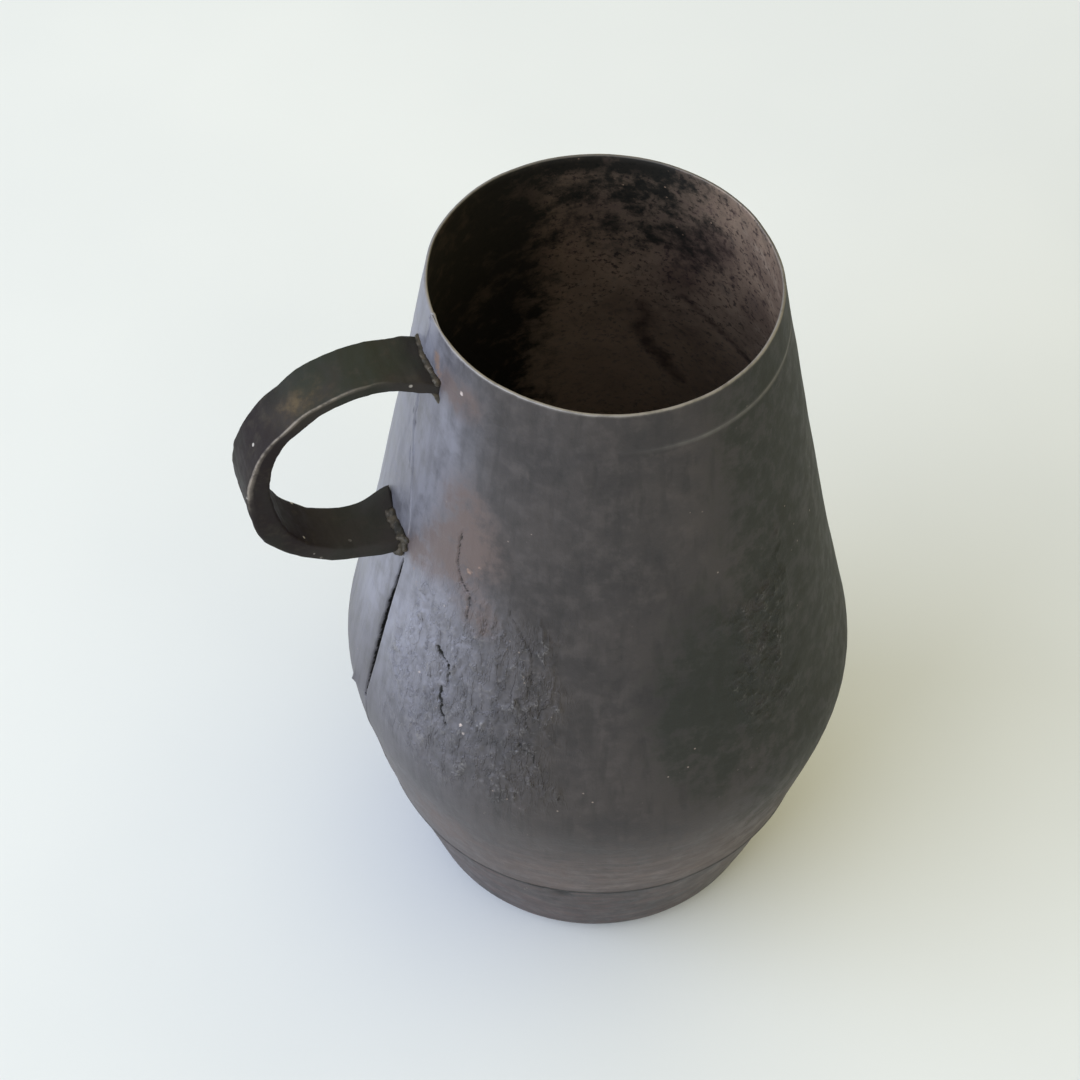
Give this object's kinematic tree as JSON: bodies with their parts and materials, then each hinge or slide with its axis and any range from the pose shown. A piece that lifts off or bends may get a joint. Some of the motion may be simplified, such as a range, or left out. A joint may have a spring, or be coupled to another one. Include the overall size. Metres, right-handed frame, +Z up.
{
  "type": "copper mug",
  "caption": "Pear-shaped hammered copper mug with a lapped side seam, a raised base pan and a forged strap handle soldered on near the rim.",
  "frame": {"origin": "middle of the flat base, on the mug's axis", "axes": "+Z up along the mug's axis, the handle points along -X"},
  "size_m": [0.1462, 0.1234, 0.197],
  "materials": {
    "body_copper": "old copper sheet under a dark grey-brown patina, satin, with flaking",
    "pan_copper": "old copper sheet under a brown patina, scrubbed thin in places",
    "strap_copper": "forged copper strap, dark olive-brown patina, bright worn edge",
    "solder": "lumpy hard solder, dull olive brown with bright specks"
  },
  "bodies": {
    "root": {"body_wall": "body_copper", "base_pan": "pan_copper", "base_seam_solder": "solder", "side_seam_solder": "solder", "handle_strap": "strap_copper", "upper_handle_solder": "solder", "lower_handle_solder": "solder"}
  },
  "joints": []
}
